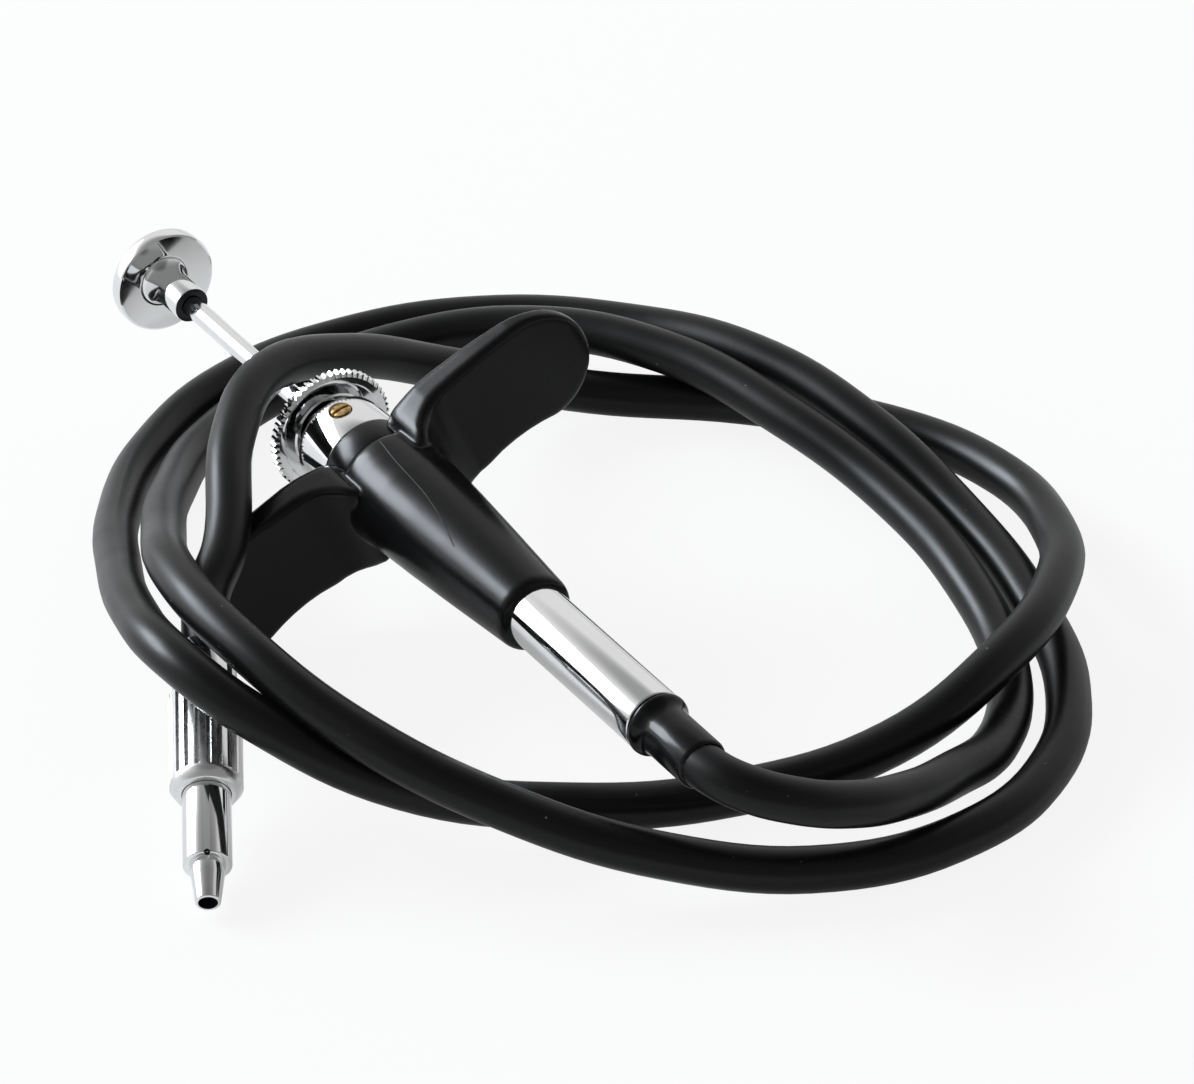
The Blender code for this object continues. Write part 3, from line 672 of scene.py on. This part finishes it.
def make_boot():
    """Moulded boot at the tube's end: a flared lip, a waist and a soft nose round the cable."""
    start, end = low("cable_boot").x, high("cable_boot").x
    long, radius = end - start, half_width("cable_boot")
    bore = CABLE_DIAMETER / 2 + 0.02
    boot = turn_ring("moulded_boot", [
        (0.0, bore), (0.0, radius - 0.25), (0.1, radius - 0.06), (0.3, radius), (0.6, radius - 0.05),
        (0.85, radius - 0.2), (1.15, radius - 0.44), (1.5, radius - 0.65), (1.95, radius - 0.77),
        (2.6, radius - 0.82), (4.5, radius - 0.82), (long - 0.5, radius - 0.84),
        (long - 0.15, radius - 0.94), (long, radius - 1.08), (long, bore)], 96)
    soften(boot, 0.08)
    place(boot, lay_on_grip_axis(start))
    stand_for(boot, moulded_black("boot_moulding", (0.0042, 0.0042, 0.0046), (0.14, 0.20)),
              "handle", "boot_black", "cable_boot")


def make_cable():
    """The jacketed cable: one curve through the route's points."""
    cable = draw_round("cable", CABLE_DIAMETER / 2, CABLE_ROUTE, 8, 8)
    stand_for(cable, jacket_vinyl("cable_vinyl"), "handle", "jacket_black", "cable_jacket")


# --- tip ---------------------------------------------------------------------------------------


def make_tip_collar():
    """Fluted collar: round flutes pressed in between the front flange and the back bevel."""
    front, back, radius = TIP_COLLAR_FRONT, 30.6, 4.25
    steps = [(front, 2.9), (front, 3.4), (front + 0.12, 3.6), (front + 1.1, radius),
             (front + 1.35, radius), (front + 1.5, radius), (front + 1.75, radius),
             (back - 1.0, radius), (back - 0.75, radius - 0.1), (back - 0.1, radius - 0.6),
             (back, radius - 0.75), (back, 2.6), (back - 2.4, 2.6), (back - 2.4, 2.9)]
    sides = TIP_FLUTES * FLUTE_SIDES
    collar = turn_ring("fluted_collar", steps, sides)
    flute_from, flute_to = front + 1.6, back - 0.8
    for depth, turns in ((0.16, (1, 5)), (0.33, (2, 4)), (0.40, (3,))):
        push_in(collar, radius, depth, lambda point: point.xy.length > (radius - 0.05) * MM
                and flute_from * MM < point.z < flute_to * MM
                and side_of(point, sides) % FLUTE_SIDES in turns)
    shade(collar, 35.0)
    place(collar, lay_on_tip_axis())
    stand_for(collar, chrome_plate("tip_collar_plate", (0.80, 0.80, 0.80), (0.22, 0.34)),
              "tip", "tip_collar_chrome", "tip_collar")


def make_tip_neck():
    """Plain neck with a small V notch filed into its front edge."""
    front, back, radius = 5.2, 20.0, 2.84
    neck = turn_ring("tip_shank", [(front, 1.9), (front, radius), (back, radius), (back, 1.9)], 128)
    soften(neck, 0.22)
    cut_with(neck, add_block((0.6, 2.0, 0.6), (0.0, radius, front + 0.1), (0, 45.0, 0)))
    shade(neck)
    place(neck, lay_on_tip_axis())
    stand_for(neck, chrome_plate("neck_plate", roughness=(0.06, 0.14)),
              "tip", "tip_neck_chrome", "tip_neck")


def make_tip_nose():
    """Tapered nose with the bore that the pin comes out of."""
    nose = turn_ring("tapered_nose", [
        (0.0, 1.12), (0.0, 1.36), (0.12, 1.48), (1.6, 1.66), (3.6, 1.92), (5.3, 2.1), (5.3, 1.7),
        (10.0, 1.7), (10.0, 1.0), (2.2, 1.0), (1.6, 1.2)], 96)
    soften(nose, 0.06)
    bore_faces = inner_faces(nose, 0.15, 9.9, 1.25)
    place(nose, lay_on_tip_axis())
    stand_for(nose, chrome_plate("nose_plate", roughness=(0.06, 0.14)),
              "tip", "tip_nose_chrome", "tip_nose")
    # painted shade: the bore's inner faces get a black finish for the shade inside the hole
    dress_faces(nose, bore_faces, painted_shade_steel("bore_painted_shade"))


def make_tip_ferrule():
    """Cup at the cable's lower end, which the tip turns on."""
    ferrule = turn_ring("tip_cup", [
        (25.6, 1.0), (25.6, 2.2), (31.0, 2.3), (31.0, 3.4), (31.35, 3.7), (35.1, 3.7), (36.3, 3.45),
        (36.6, 3.2), (36.6, 2.78), (31.8, 2.78), (31.8, 1.0)])
    soften(ferrule, 0.12)
    place(ferrule, lay_on_tip_axis())
    stand_for(ferrule, chrome_plate("ferrule_plate"), "handle", "tip_ferrule_chrome", "tip_ferrule")


# --- nodes that keep their own mesh ------------------------------------------------------------


def dress_inner_nodes():
    """Gives every node that stays its finish; the release pin's black finish is painted shade."""
    brass = turned_brass("inner_brass")
    steel = drawn_steel("inner_steel")
    finishes = {
        "stop_collar": brass, "wire_crimp": brass, "rod_guide_bush": brass, "spring_seat": brass,
        "cable_ferrule": brass, "drive_wire": steel, "return_spring": steel, "lock_spring": steel,
        # painted shade: the release pin is blackened for the shade deep in the nose's bore
        "lock_washer": steel, "tip_retaining_ring": steel, "release_pin": painted_shade_steel("pin_painted_shade"),
        "lock_sleeve": chrome_plate("sleeve_plate"),
    }
    for node, finish in finishes.items():
        dress(frame["nodes"][node], finish)


# --- studio ------------------------------------------------------------------------------------


def make_floor():
    """Pale paper floor: white to the eye and in the chrome, with the object's shadow kept on it."""
    bpy.ops.object.select_all(action="DESELECT")
    bpy.ops.mesh.primitive_plane_add(size=FLOOR_SIZE, location=(0, 0, -FLOOR_DROP * MM))
    floor = bpy.context.object
    floor.name = "floor"
    mat, tree, shader = new_finish("paper_floor", (0.80, 0.80, 0.79), 0.0, 0.9)
    shader.inputs["Specular IOR Level"].default_value = 0.0
    rays = tree.nodes.new("ShaderNodeLightPath")
    share = None
    for kind, part in (("Is Camera Ray", FLOOR_WHITE), ("Is Glossy Ray", FLOOR_MIRRORED),
                       ("Is Transmission Ray", FLOOR_MIRRORED)):
        adding = tree.nodes.new("ShaderNodeMath")
        adding.operation = "MULTIPLY_ADD"
        adding.inputs[1].default_value = part
        adding.inputs[2].default_value = 0.0
        tree.links.new(rays.outputs[kind], adding.inputs[0])
        if share:
            tree.links.new(share.outputs["Value"], adding.inputs[2])
        share = adding
    white = tree.nodes.new("ShaderNodeEmission")
    white.inputs["Strength"].default_value = 1.0
    choose = tree.nodes.new("ShaderNodeMixShader")
    output = tree.nodes["Material Output"]
    tree.links.new(share.outputs["Value"], choose.inputs["Fac"])
    tree.links.new(shader.outputs["BSDF"], choose.inputs[1])
    tree.links.new(white.outputs["Emission"], choose.inputs[2])
    tree.links.new(choose.outputs["Shader"], output.inputs["Surface"])
    dress(floor, mat)


def make_world():
    """A pale room: light grey walls, a darker ceiling and a dimmer side past the cable."""
    world = bpy.data.worlds.new("pale_room")
    bpy.context.scene.world = world
    world.use_nodes = True
    tree = world.node_tree
    tent = tree.nodes["Background"]
    direction = tree.nodes.new("ShaderNodeTexCoord")
    split = tree.nodes.new("ShaderNodeSeparateXYZ")
    tree.links.new(direction.outputs["Generated"], split.inputs["Vector"])
    shades = add_ramp(tree, split.outputs["Z"], [
        (0.0, (0.64, 0.64, 0.63)), (0.22, (0.84, 0.84, 0.83)), (0.70, (0.84, 0.84, 0.83)),
        (0.82, (0.40, 0.40, 0.40)), (1.0, (0.24, 0.24, 0.24))])
    tree.links.new(shades, tent.inputs["Color"])
    away = tree.nodes.new("ShaderNodeVectorMath")
    away.operation = "DOT_PRODUCT"
    away.inputs[1].default_value = (-0.99, 0.15, 0.0)
    tree.links.new(direction.outputs["Generated"], away.inputs[0])
    strength = add_range(tree, away.outputs["Value"], 0.34, 1.0, -0.6, 0.3)
    tree.links.new(strength, tent.inputs["Strength"])


def make_softbox(name, azimuth, elevation, distance, size, power, colour):
    """An area lamp on a circle round the release, facing it."""
    lamp = bpy.data.lights.new(name, "AREA")
    lamp.shape = "RECTANGLE"
    lamp.size, lamp.size_y = size
    lamp.energy = power
    lamp.color = colour
    light = bpy.data.objects.new(name, lamp)
    bpy.context.collection.objects.link(light)
    turn, rise = math.radians(azimuth), math.radians(elevation)
    back = Vector((math.cos(turn) * math.cos(rise), math.sin(turn) * math.cos(rise), math.sin(rise)))
    light.location = back * distance
    light.rotation_euler = back.to_track_quat("Z", "Y").to_euler()


def make_camera():
    """A long lens that looks down on the coil from beyond the cable's end of the grip."""
    turn, rise = math.radians(CAMERA_AZIMUTH), math.radians(CAMERA_ELEVATION)
    back = Vector((math.sin(turn) * math.cos(rise), -math.cos(turn) * math.cos(rise), math.sin(rise)))
    camera = bpy.data.objects.new("camera", bpy.data.cameras.new("camera"))
    bpy.context.collection.objects.link(camera)
    camera.data.lens = CAMERA_LENS
    camera.data.sensor_width = CAMERA_SENSOR
    camera.data.clip_start = 0.05
    camera.location = (Vector(CAMERA_TARGET) + back * CAMERA_DISTANCE) * MM
    camera.rotation_euler = back.to_track_quat("Z", "Y").to_euler()
    bpy.context.scene.camera = camera


make_camera()
make_tip_collar()
make_tip_neck()
make_tip_nose()
make_tip_ferrule()
make_cable()
make_boot()
make_button()
make_rod()
make_lock_disc()
make_collar()
make_set_screw()
make_grip()
make_mould_line()
make_tube()
dress_inner_nodes()
make_world()
make_floor()
for setting in LAMPS:
    make_softbox(*setting)
bpy.context.scene.view_settings.view_transform = "Standard"
